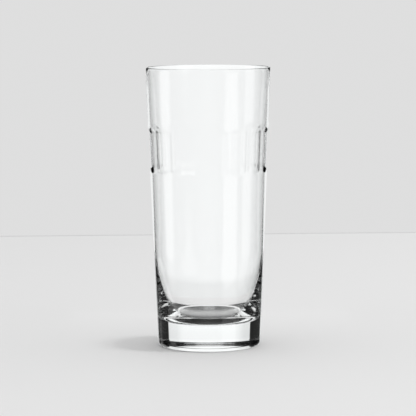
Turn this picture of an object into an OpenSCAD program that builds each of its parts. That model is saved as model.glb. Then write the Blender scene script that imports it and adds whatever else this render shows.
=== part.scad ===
// Highball glass, blown in one piece: a tall tapered tumbler with a heavy
// solid base, a deep round-bottomed bowl, a fire-polished rim and a band of
// flat cut panels below the lip. It stands on the table with its axis on +Z.

/* [Outside] */
// Height from the table to the top of the rim
glass_h = 156; // [130:1:190]
// Radius that the side would have at the table if it had no rounded heel
foot_r = 28.5; // [24:0.5:32]
// Radius of the uncut side at the top edge of the cut band
shoulder_r = 33.75; // [32:0.05:38]
// Radius at the rim
rim_r = 34.7; // [33:0.05:40]
// How far the side below the band draws in from a straight taper
side_draw = 0.06; // [0:0.02:0.4]
// Radius of the rounded heel at the foot
heel_r = 2.6; // [1:0.1:4]

/* [Underside] */
// Inner radius of the flat ring that the glass stands on
ring_r = 22.5; // [16:0.5:24]
// Height of the shallow hollow inside the standing ring
punt_h = 0.3; // [0.2:0.05:2]

/* [Wall and bowl] */
// Thickness of the wall at the rim
rim_wall = 0.85; // [0.7:0.05:2]
// Thickness of the wall at the middle of the cut band, before it is cut
band_wall = 1.35; // [1.1:0.05:2.4]
// Thickness of the wall where the bowl starts to close
bowl_wall = 1; // [0.8:0.05:2.4]
// Thickness of the solid base under the middle of the bowl's floor
base_t = 12.5; // [8:0.1:20]
// Height over which the bowl closes, from its floor up
bowl_h = 43.5; // [38:0.5:50]
// Radius of the curve that closes the bowl in
bowl_curve_r = 42; // [30:1:50]
// Lean of the bowl where that curve starts, in degrees from upright
curve_lean = 14; // [11:0.5:16]
// Lean of the bowl where it rounds over into its floor, in degrees from upright
floor_lean = 28; // [19:0.5:32]
// Radius of the rounding between the bowl's side and its floor
floor_edge_r = 11; // [9:0.5:16]
// Slope of the dished floor where it meets that rounding, in degrees
floor_dish = 9; // [4:1:20]

/* [Cut band] */
// Number of flat panels round the glass
panels = 18; // [12:1:24]
// Height of plain glass between the cut band and the rim
lip_h = 32; // [20:1:40]
// Height of the cut band
band_h = 27; // [15:1:34]
// Depth of a panel at its middle, below the uncut side
panel_depth = 0.6; // [0.3:0.05:0.9]
// Height over which a panel runs out to the surface at each end
panel_runout = 4; // [0.5:0.1:6]

/* [Hidden] */
$fn = 180;
// Straight steps that each curve of the outline is drawn with
side_steps = 8;
curve_steps = 10;
edge_steps = 6;
// Run of a cutter past the glass that it cuts
overrun = 1;
shoulder_z = glass_h - lip_h;
band_z = shoulder_z - band_h;
band_mid_z = (shoulder_z + band_z) / 2;
bowl_z = base_t + bowl_h;
lip_round_r = rim_wall / 2;
lip_z = glass_h - lip_round_r;
panel_turn = 360 / panels;

// Taper of the side as a straight line, and its true slope at each end
side_taper = (shoulder_r - foot_r) / shoulder_z;
foot_slope = side_taper - 4 * side_draw / shoulder_z;
shoulder_slope = side_taper + 4 * side_draw / shoulder_z;
foot_lean = atan(foot_slope);
band_lean = atan(shoulder_slope);

// Outside radius at a height: the drawn-in side below the shoulder, and a
// lip above it that leaves the side smoothly and stands up to the rim
lip_run = lip_z - shoulder_z;
lip_bend = (rim_r - shoulder_r - shoulder_slope * lip_run) / (lip_run * lip_run);
function side_r(z) =
    foot_r + side_taper * z - 4 * side_draw * (z / shoulder_z) * (1 - z / shoulder_z);
function lip_r(z) =
    shoulder_r + shoulder_slope * (z - shoulder_z) + lip_bend * pow(z - shoulder_z, 2);
function outside_r(z) = z < shoulder_z ? side_r(z) : lip_r(z);

// Inside radius at a height above the bowl: the wall's thickness follows one
// curve through its three named values, at the bowl, the band and the rim
function share(z, a, b) = (z - a) / (b - a);
function wall_t(z) =
    bowl_wall * share(z, band_mid_z, bowl_z) * share(z, lip_z, bowl_z) +
    band_wall * share(z, bowl_z, band_mid_z) * share(z, lip_z, band_mid_z) +
    rim_wall * share(z, bowl_z, lip_z) * share(z, band_mid_z, lip_z);
function inside_r(z) = outside_r(z) - wall_t(z);

// Lean of the inside wall where the bowl takes over from it
slope_gap = bowl_h / 100;
bowl_lean = atan((inside_r(bowl_z + slope_gap) - inside_r(bowl_z)) / slope_gap);
// Long curve of the bowl, sized so that the dished floor below it bottoms out
// at the base's thickness. The dish is a cap that drops by dish_rate times the
// radius it starts at, and the long curve's own radius changes that radius too.
dish_lean = 90 - floor_dish;
dish_rate = tan(floor_dish / 2);
edge_drop = floor_edge_r * (sin(dish_lean) - sin(floor_lean));
curve_drop = bowl_curve_r * (sin(floor_lean) - sin(curve_lean));
edge_run = floor_edge_r * (cos(floor_lean) - cos(dish_lean));
curve_run = bowl_curve_r * (cos(curve_lean) - cos(floor_lean));
dish_drop = dish_rate * (inside_r(bowl_z) - curve_run - edge_run);
long_rise = sin(curve_lean) - sin(bowl_lean) - dish_rate * (cos(bowl_lean) - cos(curve_lean));
long_curve_r = (bowl_h - edge_drop - curve_drop - dish_drop) / long_rise;

// Points of a curve that starts at a point and turns from one lean to another
// while it runs down and inwards
function bend(start, r, lean_a, lean_b, steps) = [
    for (i = [1 : steps])
        let (lean = lean_a + (lean_b - lean_a) * i / steps)
            [start[0] - r * (cos(lean_a) - cos(lean)), start[1] - r * (sin(lean) - sin(lean_a))]
];
// Points of an arc about a centre, from one angle to another
function arc(centre, r, from, to, steps) = [
    for (i = [0 : steps])
        let (a = from + (to - from) * i / steps)
            [centre[0] + r * cos(a), centre[1] + r * sin(a)]
];
// Heights evenly spread from one to another, the first left out
function levels(from, to, steps) = [for (i = [1 : steps]) from + (to - from) * i / steps];

// Underside: a shallow dome that ends at the standing ring
punt_dome_r = (ring_r * ring_r + punt_h * punt_h) / (2 * punt_h);
punt_half = asin(ring_r / punt_dome_r);
underside = arc([0, punt_h - punt_dome_r], punt_dome_r, 90, 90 - punt_half, edge_steps);

// Outside, from the table up to the rim
heel_c = [foot_r + foot_slope * heel_r - heel_r / cos(foot_lean), heel_r];
heel = arc(heel_c, heel_r, -90, -foot_lean, edge_steps);
heel_top_z = heel_c[1] - heel_r * sin(foot_lean);
side = [for (z = levels(heel_top_z, shoulder_z, side_steps)) [side_r(z), z]];
lip = [for (z = levels(shoulder_z, lip_z, side_steps)) [lip_r(z), z]];
rim = arc([rim_r - lip_round_r, lip_z], lip_round_r, 0, 180, 2 * edge_steps);

// Inside, from the rim down to the middle of the bowl's floor
wall = [for (z = levels(lip_z, bowl_z, 2 * side_steps)) [inside_r(z), z]];
long_curve = bend([inside_r(bowl_z), bowl_z], long_curve_r, bowl_lean, curve_lean, curve_steps);
tight_curve = bend(long_curve[curve_steps - 1], bowl_curve_r, curve_lean, floor_lean, curve_steps);
floor_edge = bend(tight_curve[curve_steps - 1], floor_edge_r, floor_lean, dish_lean, curve_steps);
dish_edge = floor_edge[curve_steps - 1];
dish_r = dish_edge[0] / sin(floor_dish);
dish = bend(dish_edge, dish_r, dish_lean, 90, edge_steps);
// The dish ends on the axis, where its last point is written out exactly
dish_steps = [for (i = [0 : edge_steps - 2]) dish[i]];
bowl = concat(wall, long_curve, tight_curve, floor_edge, dish_steps, [[0, base_t]]);

// The glass as it leaves the mould, with its side still smooth
module blank() {
    rotate_extrude()
        polygon(concat(underside, heel, side, lip, rim, bowl));
}

// What the wheel takes off for one panel: flat, with sloped ends, and leaning
// with the side so that it is as deep at the top as at the bottom
module panel_cutter() {
    panel_w = 2 * shoulder_r * tan(panel_turn / 2) + overrun;
    cut_l = band_h / cos(band_lean);
    surface_x = outside_r(band_z);
    out = panel_depth + overrun;
    translate([surface_x, 0, band_z])
        rotate([0, band_lean, 0])
            rotate([90, 0, 0])
                linear_extrude(height = panel_w, center = true)
                    polygon([
                        [-panel_depth, panel_runout],
                        [-panel_depth, cut_l - panel_runout],
                        [0, cut_l],
                        [out, cut_l + panel_runout * out / panel_depth],
                        [out, -panel_runout * out / panel_depth],
                        [0, 0]
                    ]);
}

// All panels, with a ridge between two of them facing the front
module cut_band() {
    for (i = [0 : panels - 1])
        rotate([0, 0, -90 + (i + 0.5) * panel_turn])
            panel_cutter();
}

// The finished glass
module tumbler() {
    color([0.88, 0.94, 0.95, 0.45])
        difference() {
            blank();
            cut_band();
        }
}

tumbler();
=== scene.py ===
# A highball glass with a cut band, on a pale floor in a small studio.
import math

import bmesh
import bpy
from mathutils import Matrix, Vector


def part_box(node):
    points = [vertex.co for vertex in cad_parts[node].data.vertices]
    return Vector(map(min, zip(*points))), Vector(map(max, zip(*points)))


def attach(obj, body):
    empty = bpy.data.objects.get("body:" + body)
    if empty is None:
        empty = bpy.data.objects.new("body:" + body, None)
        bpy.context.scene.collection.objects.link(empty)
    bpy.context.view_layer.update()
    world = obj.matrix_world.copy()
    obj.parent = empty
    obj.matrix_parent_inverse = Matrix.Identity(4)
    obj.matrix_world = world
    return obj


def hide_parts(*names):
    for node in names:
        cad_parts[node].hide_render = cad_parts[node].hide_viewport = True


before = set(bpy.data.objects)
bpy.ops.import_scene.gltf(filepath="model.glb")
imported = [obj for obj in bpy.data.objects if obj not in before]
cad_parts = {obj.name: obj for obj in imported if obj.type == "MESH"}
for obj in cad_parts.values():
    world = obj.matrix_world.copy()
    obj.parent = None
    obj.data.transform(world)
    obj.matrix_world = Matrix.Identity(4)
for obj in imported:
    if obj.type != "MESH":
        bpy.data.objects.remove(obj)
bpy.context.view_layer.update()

MM = 0.001
FULL_TURN = 2 * math.pi
QUARTER = math.pi / 2

# Sizes of the glass, as it is built
GLASS_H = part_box("tumbler")[1].z
FOOT_R = 28.5 * MM
SHOULDER_R = 33.75 * MM
RIM_R = 34.7 * MM
SIDE_DRAW = 0.06 * MM
HEEL_R = 2.6 * MM
RING_R = 22.5 * MM
PUNT_H = 0.3 * MM
RIM_WALL = 0.85 * MM
BAND_WALL = 1.35 * MM
BOWL_WALL = 1 * MM
BASE_T = 12.5 * MM
BOWL_H = 43.5 * MM
BOWL_CURVE_R = 42 * MM
CURVE_LEAN = math.radians(14)
FLOOR_LEAN = math.radians(28)
FLOOR_EDGE_R = 11 * MM
FLOOR_DISH = math.radians(9)
PANELS = 18
LIP_H = 32 * MM
BAND_H = 27 * MM
PANEL_DEPTH = 0.6 * MM
PANEL_RUNOUT = 4 * MM

SHOULDER_Z = GLASS_H - LIP_H
BAND_Z = SHOULDER_Z - BAND_H
BAND_MID_Z = (SHOULDER_Z + BAND_Z) / 2
BOWL_Z = BASE_T + BOWL_H
LIP_ROUND_R = RIM_WALL / 2
LIP_Z = GLASS_H - LIP_ROUND_R
LIP_RUN = LIP_Z - SHOULDER_Z
SIDE_TAPER = (SHOULDER_R - FOOT_R) / SHOULDER_Z
DRAW_SLOPE = 4 * SIDE_DRAW / SHOULDER_Z
FOOT_SLOPE = SIDE_TAPER - DRAW_SLOPE
SHOULDER_SLOPE = SIDE_TAPER + DRAW_SLOPE
LIP_BEND = (RIM_R - SHOULDER_R - SHOULDER_SLOPE * LIP_RUN) / LIP_RUN ** 2

# Steps that each stretch of the outline is drawn with
PUNT_STEPS = 10
HEEL_STEPS = 14
SIDE_STEPS = 30
RUNOUT_STEPS = 8
PANEL_STEPS = 10
LIP_STEPS = 14
RIM_STEPS = 14
WALL_STEPS = 40
BOWL_STEPS = 20
DISH_STEPS = 16
# Steps round the axis
AROUND = 360
# Points closer than this are one
WELD_GAP = 0.001 * MM
# Height over which the slope of the inside wall is taken
SLOPE_GAP = BOWL_H / 100

# How much the polishing wheel rounds the ridges between the panels
RIDGE_EASE = 0.05 * MM
# Points within this of the outside are the skin that the wheel cuts
SKIN_GAP = 0.01 * MM
# A meeting of two faces that is steeper than this is a true edge
TRUE_EDGE = math.radians(15)


def outside_r(z):
    """Outside radius at a height: the side, drawn in most half way up, and the lip above."""
    if z < SHOULDER_Z:
        share = z / SHOULDER_Z
        return FOOT_R + SIDE_TAPER * z - 4 * SIDE_DRAW * share * (1 - share)
    rise = z - SHOULDER_Z
    return SHOULDER_R + SHOULDER_SLOPE * rise + LIP_BEND * rise ** 2


def inside_r(z):
    """Inside radius at a height, behind a wall that follows one smooth curve."""
    def share(a, b):
        return (z - a) / (b - a)
    wall_t = (BOWL_WALL * share(BAND_MID_Z, BOWL_Z) * share(LIP_Z, BOWL_Z)
              + BAND_WALL * share(BOWL_Z, BAND_MID_Z) * share(LIP_Z, BAND_MID_Z)
              + RIM_WALL * share(BOWL_Z, LIP_Z) * share(BAND_MID_Z, LIP_Z))
    return outside_r(z) - wall_t


def levels(low, high, steps):
    """Evenly spread heights from one to another, the first left out."""
    return [low + (high - low) * i / steps for i in range(1, steps + 1)]


def arc(centre, r, start, stop, steps):
    """Points of an arc about a centre, both ends included."""
    angles = [start + (stop - start) * i / steps for i in range(steps + 1)]
    return [(centre[0] + r * math.cos(a), centre[1] + r * math.sin(a)) for a in angles]


def bend(start, r, lean_a, lean_b, steps):
    """Points of a curve that runs down and inwards from a point, the first left out."""
    leans = [lean_a + (lean_b - lean_a) * i / steps for i in range(1, steps + 1)]
    return [(start[0] - r * (math.cos(lean_a) - math.cos(lean)),
             start[1] - r * (math.sin(lean) - math.sin(lean_a))) for lean in leans]


def underside_points():
    """The shallow hollow, from the middle out to the standing ring."""
    dome_r = (RING_R ** 2 + PUNT_H ** 2) / (2 * PUNT_H)
    edge = QUARTER - math.asin(RING_R / dome_r)
    dome = arc((0, PUNT_H - dome_r), dome_r, QUARTER, edge, PUNT_STEPS)
    return [(0, PUNT_H)] + dome[1:]


def side_points():
    """The rounded heel and the side up to the rim, with close steps at the panels' ends."""
    lean = math.atan(FOOT_SLOPE)
    heel_c = (FOOT_R + FOOT_SLOPE * HEEL_R - HEEL_R / math.cos(lean), HEEL_R)
    heel = arc(heel_c, HEEL_R, -QUARTER, -lean, HEEL_STEPS)
    low_edge = BAND_Z + PANEL_RUNOUT
    high_edge = SHOULDER_Z - PANEL_RUNOUT
    stretches = [(heel[-1][1], BAND_Z, SIDE_STEPS), (BAND_Z, low_edge, RUNOUT_STEPS),
                 (low_edge, high_edge, PANEL_STEPS), (high_edge, SHOULDER_Z, RUNOUT_STEPS),
                 (SHOULDER_Z, LIP_Z, LIP_STEPS)]
    return heel + [(outside_r(z), z) for stretch in stretches for z in levels(*stretch)]


def bowl_points():
    """Over the rim, down the wall and round the bowl to the middle of its dished floor."""
    rim = arc((RIM_R - LIP_ROUND_R, LIP_Z), LIP_ROUND_R, 0, math.pi, RIM_STEPS)[1:]
    wall = [(inside_r(z), z) for z in levels(LIP_Z, BOWL_Z, WALL_STEPS)]
    lean = math.atan((inside_r(BOWL_Z + SLOPE_GAP) - inside_r(BOWL_Z)) / SLOPE_GAP)
    dish_lean = QUARTER - FLOOR_DISH
    dish_rate = math.tan(FLOOR_DISH / 2)
    edge_drop = FLOOR_EDGE_R * (math.sin(dish_lean) - math.sin(FLOOR_LEAN))
    curve_drop = BOWL_CURVE_R * (math.sin(FLOOR_LEAN) - math.sin(CURVE_LEAN))
    edge_run = FLOOR_EDGE_R * (math.cos(FLOOR_LEAN) - math.cos(dish_lean))
    curve_run = BOWL_CURVE_R * (math.cos(CURVE_LEAN) - math.cos(FLOOR_LEAN))
    dish_drop = dish_rate * (inside_r(BOWL_Z) - curve_run - edge_run)
    long_rise = math.sin(CURVE_LEAN) - math.sin(lean)
    long_rise -= dish_rate * (math.cos(lean) - math.cos(CURVE_LEAN))
    long_r = (BOWL_H - edge_drop - curve_drop - dish_drop) / long_rise
    points = rim + wall
    for r, start, stop in ((long_r, lean, CURVE_LEAN), (BOWL_CURVE_R, CURVE_LEAN, FLOOR_LEAN),
                           (FLOOR_EDGE_R, FLOOR_LEAN, dish_lean)):
        points += bend(points[-1], r, start, stop, BOWL_STEPS)
    dish_r = points[-1][0] / math.sin(FLOOR_DISH)
    dish = bend(points[-1], dish_r, dish_lean, QUARTER, DISH_STEPS)
    return points + dish[:-1] + [(0, BASE_T)]


def blow_glass():
    """The smooth glass: its outline spun about the axis."""
    bm = bmesh.new()
    outline = underside_points() + side_points() + bowl_points()
    points = [bm.verts.new((r, 0, z)) for r, z in outline]
    lines = [bm.edges.new(pair) for pair in zip(points, points[1:])]
    bmesh.ops.spin(bm, geom=points + lines, cent=(0, 0, 0), axis=(0, 0, 1),
                   angle=FULL_TURN, steps=AROUND, use_merge=True)
    bmesh.ops.remove_doubles(bm, verts=bm.verts, dist=WELD_GAP)
    bmesh.ops.recalc_face_normals(bm, faces=bm.faces)
    return bm


def cut_depth(z):
    """Depth of a panel at a height, with its sloped run-outs eased at both ends."""
    share = max(0, min(1, (z - BAND_Z) / PANEL_RUNOUT, (SHOULDER_Z - z) / PANEL_RUNOUT))
    return PANEL_DEPTH * share * share * (3 - 2 * share)


def wheel_cut(bm):
    """Takes the skin of the band down to its flat panels, with a ridge at the front."""
    turn = FULL_TURN / PANELS
    for v in bm.verts:
        r = math.hypot(v.co.x, v.co.y)
        if not BAND_Z < v.co.z < SHOULDER_Z or r < outside_r(v.co.z) - SKIN_GAP:
            continue
        around = math.atan2(v.co.y, v.co.x) + QUARTER
        off = (around % turn) - turn / 2
        middle_r = outside_r(v.co.z) - cut_depth(v.co.z)
        flat_r = middle_r / math.cos(off)
        next_r = middle_r / math.cos(turn - abs(off))
        gap = next_r - flat_r
        eased_r = (flat_r + next_r - math.sqrt(gap ** 2 + 4 * RIDGE_EASE ** 2)) / 2
        share = min(r, eased_r) / r
        v.co.x *= share
        v.co.y *= share


def finish_mesh(bm, name):
    """A piece in the scene, smooth shaded, with its place in its mesh."""
    mesh = bpy.data.meshes.new(name)
    bm.to_mesh(mesh)
    bm.free()
    mesh.shade_smooth()
    piece = bpy.data.objects.new(name, mesh)
    bpy.context.scene.collection.objects.link(piece)
    return piece


def make_glass():
    """The whole glass: blown, cut, and crisp only at its true edges."""
    bm = blow_glass()
    wheel_cut(bm)
    for edge in bm.edges:
        edge.smooth = edge.calc_face_angle(0) < TRUE_EDGE
    return finish_mesh(bm, "glass")


class Value:
    """A socket that takes part in Python expressions as a number."""

    def __init__(self, bench, socket):
        self.bench = bench
        self.socket = socket

    def out(self, name):
        """Another output of the same node."""
        return Value(self.bench, self.socket.node.outputs[name])

    def __add__(self, other):
        return self.bench.maths("ADD", self, other)

    def __sub__(self, other):
        return self.bench.maths("SUBTRACT", self, other)

    def __rsub__(self, other):
        return self.bench.maths("SUBTRACT", other, self)

    def __mul__(self, other):
        return self.bench.maths("MULTIPLY", self, other)

    def __truediv__(self, other):
        return self.bench.maths("DIVIDE", self, other)

    def __abs__(self):
        return self.bench.maths("ABSOLUTE", self)

    __radd__ = __add__
    __rmul__ = __mul__

    def past(self, edge, soft):
        """0 below an edge and 1 above it, with a soft step between."""
        return self.bench.node("ShaderNodeMapRange", {"interpolation_type": "SMOOTHSTEP"}, {
            "Value": self, "From Min": edge - soft / 2, "From Max": edge + soft / 2})

    def larger(self, other):
        """The larger of two values."""
        return self.bench.maths("MAXIMUM", self, other)


class Bench:
    """A material's or the world's node tree, laid out afresh."""

    def __init__(self, owner):
        owner.use_nodes = True
        self.tree = owner.node_tree
        self.tree.nodes.clear()

    def node(self, kind, settings=None, inputs=None):
        """One node: its settings first, then the values or links of its sockets."""
        made = self.tree.nodes.new(kind)
        for name, value in (settings or {}).items():
            if name == "stops":
                self.set_stops(made.color_ramp.elements, value)
            else:
                setattr(made, name, value)
        for name, value in (inputs or {}).items():
            if isinstance(value, Value):
                self.tree.links.new(value.socket, made.inputs[name])
            else:
                made.inputs[name].default_value = value
        return Value(self, made.outputs[0]) if made.outputs else None

    @staticmethod
    def set_stops(elements, stops):
        """A ramp's stops, each a place from 0 to 1 and a grey."""
        while len(elements) < len(stops):
            elements.new(1)
        for element, (place, grey) in zip(elements, stops):
            element.position = place
            element.color = (grey, grey, grey, 1)

    def noise(self, place, size, detail, roughness):
        """Soft noise whose largest grains are about a size across."""
        return self.node("ShaderNodeTexNoise", {"noise_dimensions": "3D"}, {
            "Vector": place, "Scale": 1 / size, "Detail": detail, "Roughness": roughness})

    def maths(self, operation, *values):
        """One Math node on values and plain numbers."""
        return self.node("ShaderNodeMath", {"operation": operation}, dict(enumerate(values)))


def new_material(name):
    """A material and the bench that lays out its nodes."""
    material = bpy.data.materials.new(name)
    return material, Bench(material)


# Glass: its tint, the waviness left from blowing, and the wear of its standing ring
GLASS_IOR = 1.52
GLASS_TINT = (0.80, 0.95, 0.92, 1)
TINT_PER_METRE = 1.0
WAVE_SIZE = 9 * MM
WAVE_LIFT = 0.006 * MM
RING_WEAR = 0.14
WEAR_SIZE = 1.2 * MM
WEAR_TOP = 0.12 * MM
WEAR_SOFT = 0.1 * MM
# Softness of the line above which the glass throws no shadow
CLEAR_SOFT = 2 * MM


def clear_glass():
    """Polished clear glass: a trace of blown waviness, and a worn standing ring."""
    material, bench = new_material("clear_glass")
    place = bench.node("ShaderNodeTexCoord").out("Object")
    spot = bench.node("ShaderNodeSeparateXYZ", None, {"Vector": place})
    height = spot.out("Z")
    on_ring = 1 - height.past(WEAR_TOP, WEAR_SOFT)
    grain = bench.noise(place, WEAR_SIZE, detail=4, roughness=0.6)
    wave = bench.noise(place, WAVE_SIZE, detail=1, roughness=0.4)
    skin = bench.node("ShaderNodeBump", None, {
        "Height": wave, "Strength": 1, "Distance": WAVE_LIFT})
    # Light for the floor passes the thin walls; the heavy base keeps its shadow
    shadow = bench.node("ShaderNodeLightPath").out("Is Shadow Ray")
    cover = 1 - shadow * height.past(BASE_T, CLEAR_SOFT)
    body = bench.node("ShaderNodeBsdfPrincipled", None, {
        "Base Color": (1, 1, 1, 1), "Roughness": on_ring * grain * RING_WEAR, "Alpha": cover,
        "IOR": GLASS_IOR, "Transmission Weight": 1, "Normal": skin})
    tint = bench.node("ShaderNodeVolumeAbsorption", None, {
        "Color": GLASS_TINT, "Density": TINT_PER_METRE})
    bench.node("ShaderNodeOutputMaterial", None, {"Surface": body, "Volume": tint})
    return material


glass = make_glass()
glass.data.materials.append(clear_glass())
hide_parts("tumbler")
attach(glass, "root")

# Camera: its place, how it looks down and leans, and its lens in pixels of the picture
CAM_BACK = 1380 * MM
CAM_UP = 214 * MM
PITCH = math.radians(5.66)
ROLL = math.radians(0.27)
PIXELS = 416
FOCAL_PX = 2480
# How far the glass's axis lies from the middle of the picture
AXIS_PX = 0.7
SENSOR = 36
SIGHT = 50


def place_camera():
    """The camera, in front of the glass and a little above its rim."""
    eye = bpy.data.cameras.new("camera")
    eye.sensor_width = SENSOR
    eye.lens = SENSOR * FOCAL_PX / PIXELS
    eye.clip_end = SIGHT
    camera = bpy.data.objects.new("camera", eye)
    bpy.context.scene.collection.objects.link(camera)
    camera.matrix_world = (Matrix.Translation((0, -CAM_BACK, CAM_UP))
                           @ Matrix.Rotation(math.atan(AXIS_PX / FOCAL_PX), 4, "Z")
                           @ Matrix.Rotation(QUARTER - PITCH, 4, "X")
                           @ Matrix.Rotation(-ROLL, 4, "Z"))
    bpy.context.scene.camera = camera


place_camera()

# Floor and wall, and the soft dark seam between them, which is painted shade where they meet
FLOOR_TONE = 0.795
FLOOR_ROUGHNESS = 0.8
WALL_TONE = 0.735
FLOOR_BACK = 570 * MM
FLOOR_REACH = 3
SEAM_TURN = math.radians(2.5)
SEAM_W = 10 * MM
SEAM_SHADE = 0.8

# The lit card behind the glass: its place, its soft edge and how its sides fall off
CARD_BACK = 133 * MM
CARD_REACH = 120 * MM
CARD_LOW = -50 * MM
CARD_TOP = 250 * MM
CARD_SOFT = 4 * MM
CARD_FALL = 48 * MM
CARD_FALL_SOFT = 30 * MM
CARD_FALL_BY = 0.18
CARD_LIGHT = (0.985, 1.0, 1.0, 1)
CARD_STRENGTH = 2
# Its half-width as a share of its reach, by height from its foot
CARD_WIDTH = [(0, 0.708), (0.28, 0.708), (0.32, 0.79), (0.36, 0.88), (0.44, 1),
              (0.61, 1), (0.635, 0.78), (0.66, 0.58)]
# Its light as a share of its strength, by height from its foot
CARD_GLOW = [(0, 0.48), (0.13, 0.485), (0.17, 0.535), (0.655, 0.535),
             (0.675, 0.48), (1, 0.48)]

# The dark disc under the foot, which is painted shadow, and the painted light that the base
# throws on its far side
SHADE_R = 26.5 * MM
SHADE_DROP = 0.02 * MM
SHADE_AROUND = 96
PAINTED_SHADOW_TONE = 0.03
PAINTED_THROWN_LIGHT = 0.35
SHADE_EDGE = 1 * MM
SHADE_SOFT = 7 * MM

# The lamp, and the share of the plain light that it takes from the world
LAMP_AT = (2.7, -0.5, 1.2)
LAMP_SIZE = 0.8
LAMP_POWER = 42
LAMP_SHARE = 0.14


def flat_piece(name, low, high, turn):
    """A flat rectangle between two corners, then turned into its place."""
    bm = bmesh.new()
    bmesh.ops.create_grid(bm, x_segments=1, y_segments=1, size=0.5)
    bmesh.ops.scale(bm, verts=bm.verts, vec=(high[0] - low[0], high[1] - low[1], 1))
    middle = ((low[0] + high[0]) / 2, (low[1] + high[1]) / 2, 0)
    bmesh.ops.translate(bm, verts=bm.verts, vec=middle)
    bmesh.ops.transform(bm, matrix=turn, verts=bm.verts)
    return finish_mesh(bm, name)


def pale_floor():
    """A pale floor that ends at the wall in a soft dark seam of painted shade; the glass doesn't
    see it.
    """
    turn = Matrix.Rotation(SEAM_TURN, 4, "Z")
    floor = flat_piece("floor", (-FLOOR_REACH, -FLOOR_REACH), (FLOOR_REACH, FLOOR_BACK), turn)
    material, bench = new_material("pale_floor")
    place = bench.node("ShaderNodeTexCoord").out("Object")
    square = bench.node("ShaderNodeMapping", None, {
        "Vector": place, "Rotation": (0, 0, -SEAM_TURN)})
    back = bench.node("ShaderNodeSeparateXYZ", None, {"Vector": square}).out("Y")
    # The floor's colour is darker near its far edge: painted shade in the corner where floor
    # meets wall
    seam = back.past(FLOOR_BACK - SEAM_W / 2, SEAM_W)
    tone = FLOOR_TONE * (1 - seam * (1 - SEAM_SHADE))
    colour = bench.node("ShaderNodeCombineColor", None, {
        "Red": tone, "Green": tone, "Blue": tone})
    body = bench.node("ShaderNodeBsdfPrincipled", None, {
        "Base Color": colour, "Roughness": FLOOR_ROUGHNESS})
    bench.node("ShaderNodeOutputMaterial", None, {"Surface": body})
    floor.data.materials.append(material)
    floor.visible_transmission = False
    floor.visible_glossy = False


def only_in_glass(piece, colour, bench, material, strength, cover=1):
    """Makes a stage piece glow for the glass alone: the camera and the floor miss it."""
    light = bench.node("ShaderNodeEmission", None, {"Color": colour, "Strength": strength})
    clear = bench.node("ShaderNodeBsdfTransparent")
    shown = bench.node("ShaderNodeMixShader", None, {"Fac": cover, 1: clear, 2: light})
    bench.node("ShaderNodeOutputMaterial", None, {"Surface": shown})
    material.cycles.emission_sampling = "NONE"
    piece.data.materials.append(material)
    piece.visible_camera = False
    piece.visible_diffuse = False
    piece.visible_shadow = False


def back_card():
    """A lit white card that stands close behind the glass, narrower at its foot and top."""
    upright = Matrix.Translation((0, CARD_BACK, 0)) @ Matrix.Rotation(QUARTER, 4, "X")
    card = flat_piece("lit_card", (-CARD_REACH, CARD_LOW), (CARD_REACH, CARD_TOP), upright)
    material, bench = new_material("lit_card")
    place = bench.node("ShaderNodeTexCoord").out("Object")
    spot = bench.node("ShaderNodeSeparateXYZ", None, {"Vector": place})
    rise = (spot.out("Z") - CARD_LOW) / (CARD_TOP - CARD_LOW)
    half = CARD_REACH * bench.node("ShaderNodeValToRGB", {"stops": CARD_WIDTH}, {"Fac": rise})
    inside = (half - abs(spot.out("X"))).past(0, CARD_SOFT)
    glow = bench.node("ShaderNodeValToRGB", {"stops": CARD_GLOW}, {"Fac": rise})
    falling = 1 - abs(spot.out("X")).past(CARD_FALL, CARD_FALL_SOFT) * CARD_FALL_BY
    only_in_glass(card, CARD_LIGHT, bench, material, glow * falling * CARD_STRENGTH, inside)


def foot_shade():
    """The table under the foot as a glowing disc: painted shadow, but for painted light that the
    base throws on its far side.
    """
    bm = bmesh.new()
    bmesh.ops.create_circle(bm, cap_ends=True, segments=SHADE_AROUND, radius=SHADE_R)
    bmesh.ops.translate(bm, verts=bm.verts, vec=(0, 0, -SHADE_DROP))
    shade = finish_mesh(bm, "foot_shade")
    material, bench = new_material("foot_shade")
    place = bench.node("ShaderNodeTexCoord").out("Object")
    far = bench.node("ShaderNodeSeparateXYZ", None, {"Vector": place}).out("Y")
    # Painted shadow under the foot, rising to painted light on the far side as though thrown by
    # the base
    light = PAINTED_SHADOW_TONE + far.past(SHADE_EDGE, SHADE_SOFT) * (PAINTED_THROWN_LIGHT - PAINTED_SHADOW_TONE)
    only_in_glass(shade, (1, 1, 1, 1), bench, material, light)


def side_lamp():
    """A soft lamp at the right that throws the shadow; the glass doesn't show it."""
    light = bpy.data.lights.new("lamp", "AREA")
    light.shape = "DISK"
    light.size = LAMP_SIZE
    light.energy = LAMP_POWER
    lamp = bpy.data.objects.new("lamp", light)
    bpy.context.scene.collection.objects.link(lamp)
    lamp.location = LAMP_AT
    lamp.rotation_euler = Vector(LAMP_AT).to_track_quat("Z", "Y").to_euler()
    lamp.visible_glossy = False
    lamp.visible_transmission = False


# The lit table that the glass sees behind it: its reach to each side, as a share of a
# quarter turn, by direction from straight down at 0 to level at 1
TABLE_LIGHT = 0.92
TABLE_SPREAD = [(0, 0.889), (0.311, 0.833), (0.444, 0.556), (0.533, 0.378),
                (0.722, 0.356), (0.756, 0.333), (0.789, 0)]
TABLE_SOFT = math.radians(2)

# The room that the glass sees: dark behind it, and paler towards the front
ROOM_DARK = 0.016
ROOM_FRONT = 0.12
ROOM_TURN = math.radians(150)
ROOM_SOFT = math.radians(60)

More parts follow.
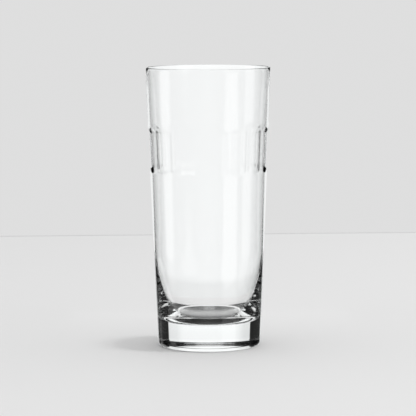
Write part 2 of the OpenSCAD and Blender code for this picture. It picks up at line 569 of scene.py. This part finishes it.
# Soft windows that the glass sees, in degrees: the turn from straight behind the glass to
# the right, the rise, and the half-width
WINDOWS = [(0, 66, 20), (-90, -3, 13), (-42, -29, 18), (135, -20, 18)]
WINDOW_LIGHT = 0.9
WINDOW_SOFT = 0.03


def studio_world():
    """Plain light for solid things; for the glass, the lit table, windows and a dark room."""
    world = bpy.data.worlds.new("studio")
    bpy.context.scene.world = world
    bench = Bench(world)
    toward = bench.node("ShaderNodeTexCoord").out("Generated")
    parts = bench.node("ShaderNodeSeparateXYZ", None, {"Vector": toward})
    aside = bench.maths("ARCTAN2", abs(parts.out("X")), parts.out("Y"))
    rise = bench.maths("ARCSINE", parts.out("Z"))
    reach = QUARTER * bench.node("ShaderNodeValToRGB", {"stops": TABLE_SPREAD}, {
        "Fac": rise / QUARTER + 1})
    in_glass = (reach - aside).past(0, TABLE_SOFT) * TABLE_LIGHT
    frontal = aside.past(ROOM_TURN, ROOM_SOFT)
    in_glass = in_glass.larger(ROOM_DARK + frontal * (ROOM_FRONT - ROOM_DARK))
    for window in WINDOWS:
        turn, lift, half = (math.radians(angle) for angle in window)
        aim = Matrix.Rotation(-turn, 3, "Z") @ Matrix.Rotation(lift, 3, "X")
        near = bench.node("ShaderNodeVectorMath", {"operation": "DOT_PRODUCT"}, {
            0: toward, 1: aim @ Vector((0, 1, 0))}).out("Value")
        in_glass = in_glass.larger(near.past(math.cos(half), WINDOW_SOFT) * WINDOW_LIGHT)
    path = bench.node("ShaderNodeLightPath")
    glassy = path.out("Is Glossy Ray").larger(path.out("Is Transmission Ray"))
    camera = path.out("Is Camera Ray")
    plain = camera * WALL_TONE + (1 - camera) * (1 - LAMP_SHARE)
    strength = glassy * in_glass + (1 - glassy) * plain
    back = bench.node("ShaderNodeBackground", None, {
        "Color": (1, 1, 1, 1), "Strength": strength})
    bench.node("ShaderNodeOutputWorld", None, {"Surface": back})


pale_floor()
back_card()
foot_shade()
side_lamp()
studio_world()

bpy.context.scene.view_settings.view_transform = "Standard"
# Light has to pass many faces of glass
cycles = bpy.context.scene.cycles
cycles.max_bounces = 24
cycles.glossy_bounces = 16
cycles.transmission_bounces = 20
